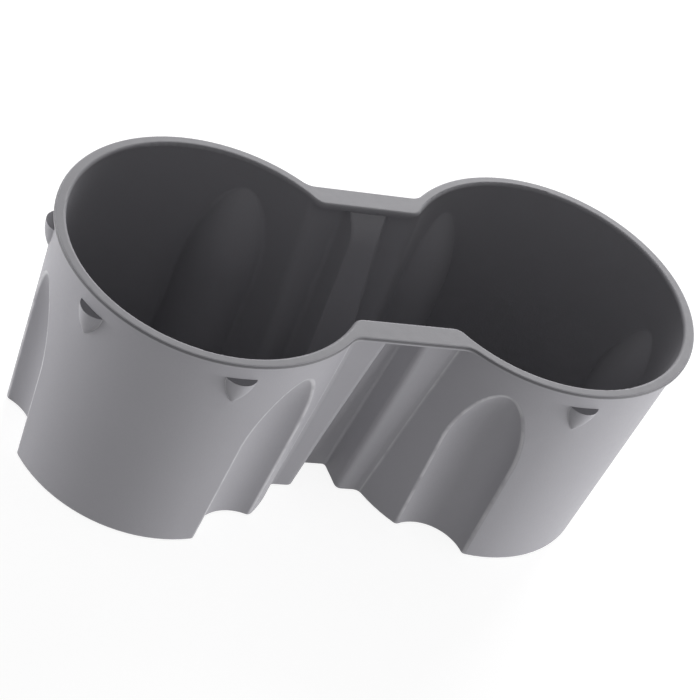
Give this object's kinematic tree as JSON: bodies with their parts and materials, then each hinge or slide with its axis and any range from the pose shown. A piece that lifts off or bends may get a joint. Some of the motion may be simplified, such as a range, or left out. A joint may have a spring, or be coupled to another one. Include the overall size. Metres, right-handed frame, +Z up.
{
  "type": "cup holder insert",
  "caption": "Soft moulded drop-in insert for a car console: round cup wells joined by an open neck under one flat rim, with grip flutes and small retaining barbs.",
  "frame": {"origin": "middle of the floor's underside", "axes": "+Z up out of the wells, +X along the row of wells, -Y towards the front that the picture shows"},
  "size_m": [0.1896, 0.0912, 0.074],
  "materials": {
    "soft_grey_moulding": "fine matt moulded surface"
  },
  "bodies": {
    "root": {"cup_holder_insert": "soft_grey_moulding"}
  },
  "joints": []
}
